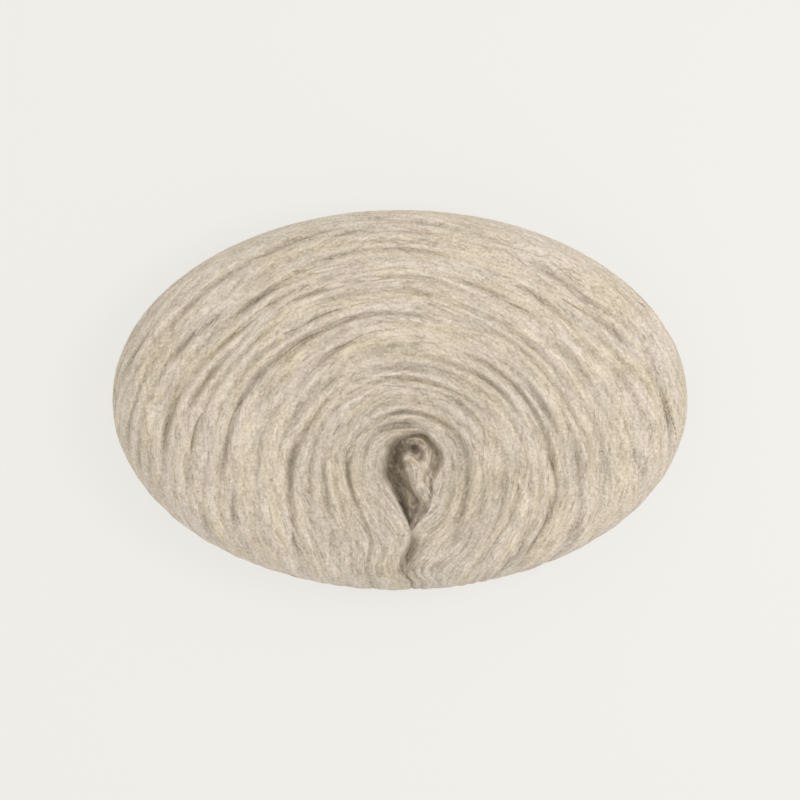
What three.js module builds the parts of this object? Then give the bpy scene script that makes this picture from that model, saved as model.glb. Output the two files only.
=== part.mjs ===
// A plate of unspun wool yarn: one thick, barely twisted strand wound in rings round a collapsed eye.
// The plate lies on its flat underside. Its near edge is turned under, so the rings arch over the eye
// on the face and come down over the near edge as two legs, with a cleft between them.
// Millimetres, X along the plate, Y away from the viewer, Z up, origin under the middle of the plate.
import * as THREE from "three";
import { mergeVertices } from "three/addons/utils/BufferGeometryUtils.js";

// Driving dimensions
const PLATE = { width: 230, depth: 152, nearHeight: 42, farHeight: 37, dome: 2 };
const EDGE = { waist: 18, rimInset: 14, footInset: 11, squareness: 2.5, smoothFoot: 9, calm: 0.6, calmTravel: 20 };
const EYE = { x: 4.5, y: -24.5, radius: 11, tip: 26.5, floorHeight: 12 };
const EYE_FLOOR_SHIFT = { x: -4.5, y: -1 };
const TONGUE = { azimuth: -0.3, from: -0.15, to: 0.65 };
const FUNNEL = { azimuth: 2.3, from: -0.1, to: 0.8 };
const DISH = { depth: 2.2, spread: 13 };
const CLEFT = { depth: 6.5, halfWidth: 3, start: 22, full: 36, meander: 4, wave: 25.5, reach: 20 };
const CLEFT_CLOSING = { from: 38, to: 52, share: 0.85 };
const LOBE = { lift: 1.8, reach: 15 };
const BAND = { pitch: 11, depth: 1.3 };

// Rings are a little wider than they are tall, and below the eye they gather towards the cleft
const RING_SQUEEZE = 0.93;
const DEGREES_PER_MILLIMETRE = 0.9;
const FALL = { shortest: 27, delayReach: 20 };
const LEGS = {
  left: { rise: 0, spread: 75, power: 1, delay: 0, growth: 0.5, longest: 60 },
  right: { rise: 0.17, spread: 58, power: 4, delay: 6, growth: 2, longest: 58 },
};

// Grid of the skin
const ROUND_STEPS = 112;
const CLEFT_CROWDING = 0.65;
const FACE_ROWS = 28;
const RIM_ROWS = 8;
const FOOT_ROWS = 6;

const WOOL = { color: 0xcabdaa, roughness: 0.95, metalness: 0 };

// Sections of the eye from its floor to its lip: the share of the eye's reach, and how far down each
// side is there, as a share of the depth. The funnel side slopes gently, and the tongue side holds the
// innermost turn.
const EYE_SECTIONS = [
  { reach: 0.0, openSide: 1.0, funnelSide: 1.0, tongueSide: 1.0 },
  { reach: 0.24, openSide: 1.0, funnelSide: 1.0, tongueSide: 0.68 },
  { reach: 0.44, openSide: 0.98, funnelSide: 0.84, tongueSide: 0.36 },
  { reach: 0.62, openSide: 0.88, funnelSide: 0.52, tongueSide: 0.3 },
  { reach: 0.78, openSide: 0.54, funnelSide: 0.21, tongueSide: 0.4 },
  { reach: 0.9, openSide: 0.16, funnelSide: 0.05, tongueSide: 0.28 },
];

// Main folds between the bands of turns: the ring that each follows, in millimetres from the eye's
// middle, the stretch of that ring in degrees from straight up, left first, and its drift outwards.
const FOLDS = [
  { ring: 18, from: -30, to: 3, drift: -4.5, depth: 2.6, halfWidth: 2.6 },
  { ring: 17.3, from: -92, to: -36, drift: 0, depth: 1.8, halfWidth: 2.6 },
  { ring: 18, from: 62, to: 92, drift: 0, depth: 2, halfWidth: 2.6 },
  { ring: 23.4, from: -122, to: -76, drift: 0, depth: 2.4, halfWidth: 3 },
  { ring: 22, from: 37, to: 58, drift: 1.5, depth: 2.2, halfWidth: 2.8 },
  { ring: 29, from: 15, to: 66, drift: -0.5, depth: 2, halfWidth: 3 },
  { ring: 30.3, from: -82, to: -56, drift: 0, depth: 1.8, halfWidth: 3 },
  { ring: 38.6, from: -8, to: 21, drift: -1, depth: 3, halfWidth: 3.2 },
  { ring: 39.5, from: 97, to: 134, drift: -2, depth: 2.4, halfWidth: 3.6 },
  { ring: 42, from: 36, to: 62, drift: 1, depth: 1.8, halfWidth: 3.2 },
  { ring: 45, from: -94, to: -66, drift: -3.5, depth: 2.8, halfWidth: 3.4 },
  { ring: 44.5, from: -60, to: -40, drift: -0.5, depth: 2.4, halfWidth: 3.4 },
  { ring: 48, from: -128, to: -98, drift: -3, depth: 2, halfWidth: 3.6 },
  { ring: 47, from: 104, to: 133, drift: 2, depth: 2, halfWidth: 3.6 },
  { ring: 46, from: -14, to: 12, drift: -0.5, depth: 1.6, halfWidth: 3.2 },
  { ring: 52, from: -34, to: -14, drift: 0, depth: 2.2, halfWidth: 3.2 },
  { ring: 52.5, from: 44, to: 72, drift: 1, depth: 2.6, halfWidth: 3.8 },
  { ring: 51.5, from: 82, to: 108, drift: 1.5, depth: 2, halfWidth: 3.6 },
  { ring: 52.3, from: 116, to: 133, drift: 1.5, depth: 2.6, halfWidth: 3.6 },
  { ring: 58.5, from: 17, to: 34, drift: 0, depth: 2.4, halfWidth: 3.4 },
  { ring: 61.5, from: -58, to: -32, drift: -1, depth: 2.2, halfWidth: 3.4 },
  { ring: 60, from: 68, to: 108, drift: 2, depth: 2.4, halfWidth: 3.8 },
  { ring: 63.5, from: -128, to: -116, drift: 0, depth: 2, halfWidth: 3.8 },
  { ring: 64.5, from: 26, to: 44, drift: 0, depth: 2, halfWidth: 3.4 },
  { ring: 69, from: -18, to: 12, drift: -4.5, depth: 2.8, halfWidth: 3.4 },
  { ring: 72, from: 48, to: 67, drift: 1.5, depth: 2.4, halfWidth: 3.6 },
  { ring: 70, from: 74, to: 118, drift: 0.5, depth: 2.2, halfWidth: 3.8 },
  { ring: 80.5, from: 26, to: 48, drift: 0, depth: 2.6, halfWidth: 3.6 },
  { ring: 79, from: -121, to: -107, drift: -1, depth: 2.2, halfWidth: 4 },
  { ring: 90.5, from: -84, to: -66, drift: 0, depth: 3, halfWidth: 3.8 },
  { ring: 88.5, from: -51, to: -38, drift: -2.2, depth: 3, halfWidth: 3.6 },
  { ring: 86.5, from: -40, to: -16, drift: 0, depth: 3, halfWidth: 3.6 },
  { ring: 90.5, from: 44, to: 63, drift: 0, depth: 2.8, halfWidth: 3.8 },
  { ring: 90.6, from: 19, to: 38, drift: 0, depth: 2, halfWidth: 3.6 },
  { ring: 93, from: -23, to: -12, drift: 3, depth: 2.2, halfWidth: 3.6 },
  { ring: 97, from: -67, to: -55, drift: -3, depth: 2.4, halfWidth: 3.6 },
  { ring: 98.5, from: -105, to: -86, drift: -2.5, depth: 2.4, halfWidth: 4 },
  { ring: 96.3, from: 65, to: 83, drift: 0, depth: 3, halfWidth: 3.8 },
  { ring: 99, from: 8, to: 20, drift: -4, depth: 2.2, halfWidth: 3.6 },
  { ring: 98.8, from: -34, to: -18, drift: 0, depth: 2.4, halfWidth: 3.6 },
  { ring: 118, from: -104, to: 32, drift: 4, depth: 2.2, halfWidth: 4.2 },
  { ring: 122, from: -2, to: 98, drift: -3, depth: 2.2, halfWidth: 4.2 },
];
const FOLD_FADE = { degrees: 10, share: 0.35 };

const halfWidth = PLATE.width / 2;
const halfDepth = PLATE.depth / 2;
const { smoothstep, lerp, radToDeg } = THREE.MathUtils;

// A soft bump: 1 at zero, falling away to both sides.
const bell = (distance, spread) => Math.exp(-((distance / spread) ** 2));

// How far the cleft winds to the left at a distance below the eye's middle.
function cleftBend(fall) {
  const along = (fall - EYE.tip) / CLEFT.wave;
  if (along <= 0 || along >= 1) return 0;
  return (-CLEFT.meander / 2) * (1 - Math.cos(2 * Math.PI * along));
}

// Ring coordinates of a point of the plan: distance across from the cleft, distance below the eye,
// the ring it lies on and the place along that ring in degrees from straight up.
function ringCoordinates(x, y) {
  const fall = Math.max(EYE.y - y, 0);
  const rise = Math.max(y - EYE.y, 0);
  const bend = cleftBend(fall) * bell(x - EYE.x, CLEFT.reach);
  const across = (x - EYE.x - bend) * RING_SQUEEZE;
  const side = across < 0 ? -1 : 1;
  const reach = Math.abs(across);
  if (fall === 0) {
    return { across, fall, ring: Math.hypot(across, rise), along: radToDeg(Math.atan2(across, rise)) };
  }
  const leg = side < 0 ? LEGS.left : LEGS.right;
  const gathered = (EYE.radius + leg.rise * reach) * Math.exp(-((reach / leg.spread) ** leg.power));
  const startFall = leg.delay * Math.min(reach / FALL.delayReach, 1);
  const fullFall = Math.min(FALL.shortest + leg.growth * reach, leg.longest);
  const ring = reach + smoothstep(fall, startFall, fullFall) * gathered;
  return { across, fall, ring, along: side * (90 + DEGREES_PER_MILLIMETRE * fall) };
}

// How deep the skin is pressed in at a place of the ring coordinates: shallow valleys between the
// bands of turns, which climb by one band in a full turn as the winding does, and the main folds.
function foldDepth({ ring, along }) {
  const turns = ring / BAND.pitch - along / 360;
  let depth = (BAND.depth / 2) * (1 - Math.cos(2 * Math.PI * turns));
  for (const fold of FOLDS) {
    const progress = (along - fold.from) / (fold.to - fold.from);
    const middle = fold.ring + fold.drift * progress;
    const fade = Math.min(FOLD_FADE.degrees, FOLD_FADE.share * (fold.to - fold.from));
    const started = smoothstep(along, fold.from - fade, fold.from + fade);
    const ended = smoothstep(along, fold.to - fade, fold.to + fade);
    depth += fold.depth * bell(ring - middle, fold.halfWidth) * (started - ended);
  }
  return depth;
}

// How deep the cleft between the two legs is, starting at the eye's tip and closing over the near edge.
function cleftDepth({ across, fall }) {
  const closed = CLEFT_CLOSING.share * smoothstep(fall, CLEFT_CLOSING.from, CLEFT_CLOSING.to);
  return CLEFT.depth * bell(across, CLEFT.halfWidth) * smoothstep(fall, CLEFT.start, CLEFT.full) * (1 - closed);
}

// Height of the plate's face: it leans down to the far edge, is slightly domed, dishes into the eye,
// and its left leg lies a little over the right one.
function faceHeight(x, y) {
  const place = ringCoordinates(x, y);
  const lean = lerp(PLATE.nearHeight, PLATE.farHeight, y / PLATE.depth + 0.5);
  const dome = PLATE.dome * (1 - (x / halfWidth) ** 2 - (y / halfDepth) ** 2);
  const dish = DISH.depth * bell(Math.max(place.ring - EYE.radius, 0), DISH.spread);
  const leftSide = place.across < 0 ? 1 : 0;
  const lobe = LOBE.lift * leftSide * bell(place.across, LOBE.reach) * smoothstep(place.fall, 0, EYE.tip);
  return lean + dome - dish + lobe;
}

// Reach of the eye's lip from its middle: a circle, with two straight sides drawn to a tip at the cleft.
function eyeReach(azimuth) {
  const fromCleft = Math.acos(-Math.sin(azimuth));
  const radius = EYE.radius / RING_SQUEEZE;
  const tangent = Math.acos(radius / EYE.tip);
  return radius / Math.cos(Math.max(tangent - fromCleft, 0));
}

// The outline's point on the ray that leaves the eye at an azimuth, with the outward normal there.
function outlinePoint(azimuth) {
  const ray = new THREE.Vector2(Math.cos(azimuth), Math.sin(azimuth));
  const a = (ray.x / halfWidth) ** 2 + (ray.y / halfDepth) ** 2;
  const b = (EYE.x * ray.x) / halfWidth ** 2 + (EYE.y * ray.y) / halfDepth ** 2;
  const c = (EYE.x / halfWidth) ** 2 + (EYE.y / halfDepth) ** 2 - 1;
  const distance = (-b + Math.sqrt(b * b - a * c)) / a;
  const point = new THREE.Vector2(EYE.x, EYE.y).addScaledVector(ray, distance);
  const normal = new THREE.Vector2(point.x / halfWidth ** 2, point.y / halfDepth ** 2).normalize();
  return { point, normal };
}

// The edge's profile at an angle: 0 where the face ends, 90 degrees at the waist, 180 at the foot.
// It gives the inset from the outline, the height and the slope's outward and upward shares.
function edgeProfile(angle, faceEnd) {
  const power = 2 / EDGE.squareness;
  const sine = Math.abs(Math.sin(angle)) ** power;
  const cosine = Math.abs(Math.cos(angle)) ** power;
  const upper = angle <= Math.PI / 2;
  const inset = (upper ? EDGE.rimInset : EDGE.footInset) * (1 - sine);
  const height = upper ? lerp(EDGE.waist, faceEnd, cosine) : EDGE.waist * (1 - cosine);
  return { inset, height, outward: Math.sin(angle), upward: Math.cos(angle) };
}

// How far an edge point has travelled from the end of the face, measured over the profile.
function edgeTravel(angle, faceEnd) {
  const steps = 12;
  let travel = 0;
  let last = edgeProfile(0, faceEnd);
  for (let step = 1; step <= steps; step += 1) {
    const next = edgeProfile((angle * step) / steps, faceEnd);
    travel += Math.hypot(next.inset - last.inset, next.height - last.height);
    last = next;
  }
  return travel;
}

// Points of the skin, row by row: the eye, the face, the edge and the underside.
function eyePoint(section, azimuth) {
  const lip = facePoint(0, azimuth);
  const tongue = smoothstep(Math.cos(azimuth - TONGUE.azimuth), TONGUE.from, TONGUE.to);
  const funnel = smoothstep(Math.cos(azimuth - FUNNEL.azimuth), FUNNEL.from, FUNNEL.to);
  const wall = lerp(section.openSide, section.funnelSide, funnel);
  const sunk = lerp(wall, section.tongueSide, tongue);
  const x = lerp(EYE.x + EYE_FLOOR_SHIFT.x, lip.x, section.reach);
  const y = lerp(EYE.y + EYE_FLOOR_SHIFT.y, lip.y, section.reach);
  return new THREE.Vector3(x, y, lerp(lip.z, EYE.floorHeight, sunk));
}

function facePoint(share, azimuth) {
  const reach = eyeReach(azimuth);
  const { point, normal } = outlinePoint(azimuth);
  const x = lerp(EYE.x + reach * Math.cos(azimuth), point.x - EDGE.rimInset * normal.x, share);
  const y = lerp(EYE.y + reach * Math.sin(azimuth), point.y - EDGE.rimInset * normal.y, share);
  const place = ringCoordinates(x, y);
  return new THREE.Vector3(x, y, faceHeight(x, y) - foldDepth(place) - cleftDepth(place));
}

function edgePoint(angle, azimuth) {
  const { point, normal } = outlinePoint(azimuth);
  const endX = point.x - EDGE.rimInset * normal.x;
  const endY = point.y - EDGE.rimInset * normal.y;
  const faceEnd = faceHeight(endX, endY);
  const profile = edgeProfile(angle, faceEnd);
  // The rings run on over the edge as if the skin were still flat.
  const travel = edgeTravel(angle, faceEnd);
  const place = ringCoordinates(endX + travel * normal.x, endY + travel * normal.y);
  const lifted = smoothstep(profile.height, 0, EDGE.smoothFoot);
  const calm = 1 - EDGE.calm * smoothstep(travel, 0, EDGE.calmTravel);
  const pressed = (foldDepth(place) + cleftDepth(place)) * calm * lifted;
  const inset = profile.inset + pressed * profile.outward;
  const height = profile.height - pressed * Math.max(profile.upward, 0);
  return new THREE.Vector3(point.x - inset * normal.x, point.y - inset * normal.y, height);
}

function skinRows() {
  const rows = EYE_SECTIONS.map((section) => (azimuth) => eyePoint(section, azimuth));
  for (let row = 0; row <= FACE_ROWS; row += 1) {
    rows.push((azimuth) => facePoint(row / FACE_ROWS, azimuth));
  }
  for (let row = 1; row <= RIM_ROWS; row += 1) {
    rows.push((azimuth) => edgePoint(((Math.PI / 2) * row) / RIM_ROWS, azimuth));
  }
  for (let row = 1; row <= FOOT_ROWS; row += 1) {
    rows.push((azimuth) => edgePoint((Math.PI / 2) * (1 + row / FOOT_ROWS), azimuth));
  }
  rows.push(() => new THREE.Vector3(0, 0, 0));
  return rows;
}

// Triangles of the grid cell between two rows and two columns, with one triangle at the poles. Cells of
// the right half are split along their other diagonal, so the split runs with the strands on both legs.
function cellTriangles(row, column, lastRow) {
  const upperStart = row * (ROUND_STEPS + 1) + column;
  const upperEnd = upperStart + 1;
  const lowerStart = upperStart + ROUND_STEPS + 1;
  const lowerEnd = lowerStart + 1;
  if (row === 0) return [upperStart, lowerStart, lowerEnd];
  if (row === lastRow) return [upperEnd, upperStart, lowerEnd];
  if (column < ROUND_STEPS / 2) {
    return [upperEnd, upperStart, lowerStart, upperEnd, lowerStart, lowerEnd];
  }
  return [upperEnd, upperStart, lowerEnd, upperStart, lowerStart, lowerEnd];
}

// The skin is a sphere's grid whose top pole is the eye's floor and whose bottom pole is the middle of
// the underside. Its columns start at the cleft and crowd together there.
function plateGeometry() {
  const rows = skinRows();
  const lastRow = rows.length - 2;
  const geometry = new THREE.SphereGeometry(1, ROUND_STEPS, lastRow + 1);
  const triangles = [];
  for (let row = 0; row <= lastRow; row += 1) {
    for (let column = 0; column < ROUND_STEPS; column += 1) {
      triangles.push(...cellTriangles(row, column, lastRow));
    }
  }
  geometry.setIndex(triangles);
  const position = geometry.getAttribute("position");
  for (let index = 0; index < position.count; index += 1) {
    const column = index % (ROUND_STEPS + 1);
    const turn = (2 * Math.PI * (column % ROUND_STEPS)) / ROUND_STEPS;
    const azimuth = -Math.PI / 2 + turn - CLEFT_CROWDING * Math.sin(turn);
    const point = rows[Math.floor(index / (ROUND_STEPS + 1))](azimuth);
    position.setXYZ(index, point.x, point.y, point.z);
  }
  geometry.deleteAttribute("normal");
  geometry.deleteAttribute("uv");
  const closed = mergeVertices(geometry, 1e-4);
  closed.computeBoundingBox();
  const middle = closed.boundingBox.getCenter(new THREE.Vector3());
  closed.translate(-middle.x, -middle.y, 0);
  closed.computeVertexNormals();
  return closed;
}

const yarn = new THREE.Group();
const plate = new THREE.Mesh(plateGeometry(), new THREE.MeshStandardMaterial(WOOL));
plate.name = "wool_plate";
yarn.add(plate);

export default yarn;
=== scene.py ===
import bpy
import numpy as np
from bpy.props import FloatProperty, FloatVectorProperty, IntProperty, PointerProperty
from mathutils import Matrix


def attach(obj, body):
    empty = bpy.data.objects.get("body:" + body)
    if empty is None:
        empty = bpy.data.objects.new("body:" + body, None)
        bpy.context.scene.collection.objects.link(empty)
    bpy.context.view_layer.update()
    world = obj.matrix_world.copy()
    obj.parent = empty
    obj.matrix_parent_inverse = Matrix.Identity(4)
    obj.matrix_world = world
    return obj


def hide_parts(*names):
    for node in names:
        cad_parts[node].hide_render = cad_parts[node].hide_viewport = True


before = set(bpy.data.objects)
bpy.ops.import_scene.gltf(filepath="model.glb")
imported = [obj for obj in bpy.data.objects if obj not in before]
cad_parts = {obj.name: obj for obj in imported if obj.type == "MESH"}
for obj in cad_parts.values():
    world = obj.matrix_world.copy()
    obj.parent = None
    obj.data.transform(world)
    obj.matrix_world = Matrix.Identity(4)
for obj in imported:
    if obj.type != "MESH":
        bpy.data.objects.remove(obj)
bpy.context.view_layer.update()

bl_info = {
    "name": "Unspun Wool Plate",
    "version": (1, 0, 0),
    "blender": (4, 5, 0),
    "location": "View3D > Sidebar > Wool",
    "description": "Dresses a wound plate of unspun wool yarn with its turns, locks and loose fibres",
    "category": "Object",
}

# The solid model's box, before any piece is added
NODE = "wool_plate"
BODY = "root"

# Shapes are worked out in millimetres, and meshes are in metres
MM = 0.001

# Sizes of the plate, as the solid has them
HALF_WIDTH = 115.0
HALF_DEPTH = 76.0
NEAR_HEIGHT = 42.0
FAR_HEIGHT = 37.0
DOME = 2.0
WAIST = 18.0
RIM_INSET = 14.0
FOOT_INSET = 11.0
EDGE_SQUARENESS = 2.5
MEAN_FACE_END = 39.0

# Over the edge the strands grow calmer and end in a smooth foot, and loose pieces keep a margin from its end
EDGE_CALM = 0.6
EDGE_CALM_TRAVEL = (9.0, 27.0)
SMOOTH_FOOT = 9.0
FOOT_MARGIN = 3.0

# The eye, its dish and its lip
EYE_X = 4.5
EYE_Y = -24.5
EYE_RADIUS = 11.0
EYE_TIP = 26.5
BULGE_COLUMNS = ("size", "azimuth", "spread")
BULGES = (
    (4.0, -1.25, 0.32),
    (1.6, 0.25, 0.45),
    (1.5, 1.3, 0.7),
    (1.8, 2.4, 0.5),
    (3.2, 3.6, 0.5),
    (0.8, 4.28, 0.36),
)
EYE_FLOOR = 19.0
EYE_FLOOR_SHIFT = (-4.5, -1.0)
TONGUE_AZIMUTH = 0.0
TONGUE_FADE = (0.3, 0.75)
TONGUE_SHARE = 0.66
FUNNEL_AZIMUTH = 2.7
FUNNEL_FADE = (-0.2, 0.7)
WALL_SHARE = 0.2
FUNNEL_SHARE = 0.35
DISH_DEPTH = 2.2
DISH_SPREAD = 13.0
LIP_DROP = 1.6
LIP_SPREAD = 3.5

# The cleft below the eye, and the left leg that lies a little over the right one
CLEFT_DEPTH = 3.0
CLEFT_LEFT_WIDTH = 1.1
CLEFT_RIGHT_WIDTH = 5.2
CLEFT_START = 26.0
CLEFT_FULL = 35.0
CLEFT_CLOSING = (39.0, 52.0)
CLEFT_CLOSED = 0.75
CLEFT_MEANDER = 4.6
CLEFT_DELAY = 1.6
CLEFT_WAVE = 25.5
CLEFT_REACH = 20.0
LOBE_LIFT = 1.8
LOBE_REACH = 15.0

# Rings are a little wider than they are tall, and below the eye they gather towards the cleft
RING_SQUEEZE = 0.93
DEGREES_PER_MM = 0.9
FALL_SHORTEST = 27.0
DELAY_REACH = 20.0
LEFT_LEG = {"rise": 0.0, "spread": 75.0, "power": 1.0, "delay": 0.0, "growth": 0.5, "longest": 60.0}
RIGHT_LEG = {"rise": 0.17, "spread": 58.0, "power": 4.0, "delay": 6.0, "growth": 2.0, "longest": 58.0}

# The innermost turn in the eye: places of its middle line, the height of its top and its half width. The
# tongue rises from the lower right side, the hook curls round a small pit at the top of it, the apron
# slopes from the tongue's root to the tip of the eye, and the foot spreads below the tongue on its left side
TURN_COLUMNS = ("x", "y", "height", "half_width")
TONGUE = (
    (12.6, -41.0, 34.6, 4.6),
    (9.9, -37.0, 34.4, 4.7),
    (8.2, -34.0, 34.4, 4.7),
    (7.2, -31.0, 36.5, 4.8),
    (6.4, -28.0, 38.8, 5.1),
    (5.2, -25.4, 37.8, 5.4),
    (3.0, -22.9, 34.0, 3.2),
)
HOOK = (
    (2.0, -17.2, 27.0, 2.2),
    (4.0, -16.1, 30.0, 2.8),
    (6.4, -15.9, 31.2, 3.0),
    (8.9, -16.9, 32.6, 3.4),
    (10.4, -19.8, 35.2, 2.7),
    (10.5, -23.2, 36.2, 2.8),
    (9.8, -27.0, 35.8, 3.0),
    (10.8, -31.5, 33.6, 3.4),
    (12.0, -36.0, 34.2, 3.6),
)
APRON = (
    (12.6, -40.4, 35.4, 3.8),
    (9.6, -42.2, 32.6, 3.4),
    (8.2, -45.2, 31.6, 2.8),
    (6.0, -49.0, 33.4, 2.4),
    (4.8, -51.6, 35.6, 2.2),
)
FOOT = (
    (5.6, -46.4, 28.6, 4.2),
    (6.4, -42.0, 28.0, 5.6),
    (6.4, -37.0, 28.0, 6.4),
    (5.0, -31.0, 27.4, 6.6),
    (3.4, -26.0, 27.4, 6.0),
    (2.6, -22.6, 27.0, 4.4),
    (5.6, -20.0, 25.0, 3.2),
)
MOUND_SQUARENESS = 3.5
TURN_SOFTNESS = 1.5

# Fuzz in the eye: its height, its fade from the lip, and two layers of noise
EYE_ROUGH = 0.8
EYE_ROUGH_FADE = 0.3
COARSE_FUZZ = {"size": 1.0, "along": 1.9, "across": 2.6}
FINE_FUZZ = {"size": 0.6, "along": 0.9, "across": 1.3}

# Main folds: the ring in millimetres, its stretch in degrees from straight up, left first, the drift
# outwards along it, the depth and the half width
FOLD_COLUMNS = ("ring", "start", "end", "drift", "depth", "half_width")
FOLDS = (
    (16.8, -42, 6, -3.2, 6.2, 1.4),
    (17.3, -92, -36, 0.0, 1.8, 0.78),
    (18.0, 62, 92, 0.0, 2.0, 0.78),
    (23.4, -122, -76, 0.0, 2.4, 0.90),
    (22.0, 37, 58, 1.5, 2.2, 0.84),
    (29.0, 15, 66, -0.5, 2.0, 0.90),
    (30.3, -82, -56, 0.0, 1.8, 0.90),
    (38.6, -8, 21, -1.0, 3.0, 0.96),
    (39.5, 97, 134, -2.0, 2.4, 1.08),
    (42.0, 36, 62, 1.0, 1.8, 0.96),
    (45.0, -94, -66, -3.5, 1.6, 1.02),
    (44.5, -60, -40, -0.5, 2.4, 1.02),
    (48.0, -128, -98, -3.0, 2.0, 1.08),
    (47.0, 104, 133, 2.0, 2.0, 1.08),
    (46.0, -14, 12, -0.5, 1.6, 0.96),
    (52.0, -34, -14, 0.0, 2.2, 0.96),
    (52.5, 44, 72, 1.0, 2.6, 1.14),
    (51.5, 82, 108, 1.5, 2.0, 1.08),
    (52.3, 116, 133, 1.5, 2.6, 1.08),
    (58.5, 17, 34, 0.0, 2.4, 1.02),
    (61.5, -58, -32, -1.0, 2.2, 1.02),
    (60.0, 68, 108, 2.0, 2.4, 1.14),
    (63.5, -128, -116, 0.0, 2.0, 1.14),
    (64.5, 26, 44, 0.0, 2.0, 1.02),
    (69.0, -18, 12, -4.5, 3.6, 1.02),
    (72.0, 48, 67, 1.5, 3.8, 1.08),
    (70.0, 74, 118, 0.5, 2.2, 1.14),
    (80.5, 26, 48, 0.0, 4.2, 1.08),
    (79.0, -121, -107, -1.0, 2.2, 1.20),
    (90.5, -84, -66, 0.0, 3.8, 1.14),
    (88.5, -51, -38, -2.2, 4.8, 1.08),
    (86.5, -40, -16, 0.0, 4.8, 1.08),
    (90.5, 44, 63, 0.0, 2.8, 1.14),
    (90.6, 19, 38, 0.0, 2.0, 1.08),
    (93.0, -23, -12, 3.0, 2.2, 1.08),
    (97.0, -67, -55, -3.0, 4.2, 1.08),
    (98.5, -105, -86, -2.5, 2.4, 1.20),
    (96.3, 65, 83, 0.0, 3.0, 1.14),
    (99.0, 8, 20, -4.0, 2.2, 1.08),
    (98.8, -34, -18, 0.0, 2.4, 1.08),
    (103.0, -56, -16, -4.5, 3.8, 1.08),
    (118.0, -104, 32, 4.0, 3.0, 1.26),
    (122.0, -2, 98, -3.0, 2.2, 1.26),
)
FOLD_FADE = 28.0
FOLD_FADE_SHARE = 0.85
FOLD_SHARE = 0.65
FOLD_WANDER = 0.35

# Shallow bands of turns
BAND_PITCH = 11.0
BAND_DEPTH = 0.5

# Single strands: their lean across the rings, which turns over at a crest, and how far they stray
STRAND_PITCH = 5.0
STRAND_LEAN = 0.125
LEAN_CREST = 0.4
LEAN_TURN = 0.25
LEAN_END = 1.9
LONG_SWAY = {"size": 3.2, "along": 60.0, "across": 18.0}
SHORT_SWAY = {"size": 1.2, "along": 24.0, "across": 7.0}

# Valleys between the strands: their depth and form, where they show, how much deeper they are on the flanks
# and calmer on the legs, the short streaks beside them, and their fade at the eye's lip
STRAND_DEPTH = 3.5
VALLEY_ROUND = 0.1
VALLEY_POWER = 0.3
SHOWN = {"size": 1.0, "along": 33.0, "across": 4.2}
SHOWN_STEP = (-0.4, 0.9)
SHOWN_LEAST = 0.1
SHOWN_MORE = 1.1
FLANK_SHARE = 0.38
FLANK_RINGS = (30.0, 55.0)
FLANK_DEGREES = (25.0, 65.0)
LEFT_CALM = 0.7
RIGHT_CALM = 0.25
LEG_DEGREES = (95.0, 122.0)
STREAKS = {"size": 0.25, "along": 16.0, "across": 2.5}
LIP_RINGS = (0.5 * EYE_RADIUS, 1.2 * EYE_RADIUS)

# Painted shade, which darkens the wool's colour where shade falls: in valleys, in the dish round the eye, in
# the eye and near the rim
VALLEY_SHADE = 0.26
VALLEY_START = 0.5
DISH_SHADE = 0.3
DISH_SHADE_SPREAD = 34.0
EYE_SHADE_TOP = 36.0
EYE_SHADE_DROP = 12.0
EYE_SHADE_MOST = 1.1
EYE_MOTTLE = 0.35
RIM_SHADE = 0.1
RIM_SHADE_START = 0.82

# Rows and columns of the skin: columns crowd towards the eye's tip, and rows towards its lip
SKIN_COLUMNS = 400
EYE_ROWS = 36
FACE_ROWS = 150
EDGE_ROWS = 46
TIP_CROWDING = 0.5
EYE_ROW_POWER = 1.6
FACE_ROW_POWER = 1.15
SKIN_TINT = -0.6

# Locks: the section, as places across it and heights, from its inner edge over the top and back below, the
# least and most of each size, the wave across the ring, the taper and dip of the ends, and the gap to the eye
LOCK_ACROSS = np.array((-1.0, -0.55, 0.0, 0.55, 1.0, 0.0))
LOCK_HEIGHT = np.array((0.0, 0.72, 1.0, 0.72, 0.0, -0.7))
LOCK_STEPS = 24
LOCK_SIZES = {
    "length": (18.0, 46.0),
    "half_width": (1.3, 2.6),
    "height": (0.2, 0.4),
    "lift": (-0.5, -0.1),
    "drift": (-2.0, 2.0),
}
LOCK_WAVE = (0.1, 0.6)
LOCK_WAVE_TURN = 0.08
LOCK_TAPER = (2.4, 0.75)
LOCK_END_WIDTH = 0.06
LOCK_END_HEIGHT = 0.1
LOCK_END_DIP = 1.3
LOCK_GAP = 1.0

# Loose fibres: the section as for a lock, half length, spread of heading and bend, lift and tilt, widths and
# taper, mean and spread of tint, and a gap to the eye so far below zero that fibres lie over it too
FIBRE_ACROSS = np.array((-1.0, 0.0, 1.0))
FIBRE_HEIGHT = np.array((-0.6, 1.2, -0.6))
FIBRE_STEPS = 5
FIBRE_HALF_LENGTH = (1.2, 4.0)
FIBRE_HEADING = 0.34
FIBRE_BEND = 0.45
FIBRE_LIFT = (0.0, 0.4)
FIBRE_TILT = (-0.2, 0.2)
FIBRE_WIDTHS = (0.6, 1.3)
FIBRE_TAPER = 0.7
FIBRE_TINT = (0.2, 0.9)
FIBRE_GAP = -30.0
FACE_FIBRE_PIECES = 2

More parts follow.
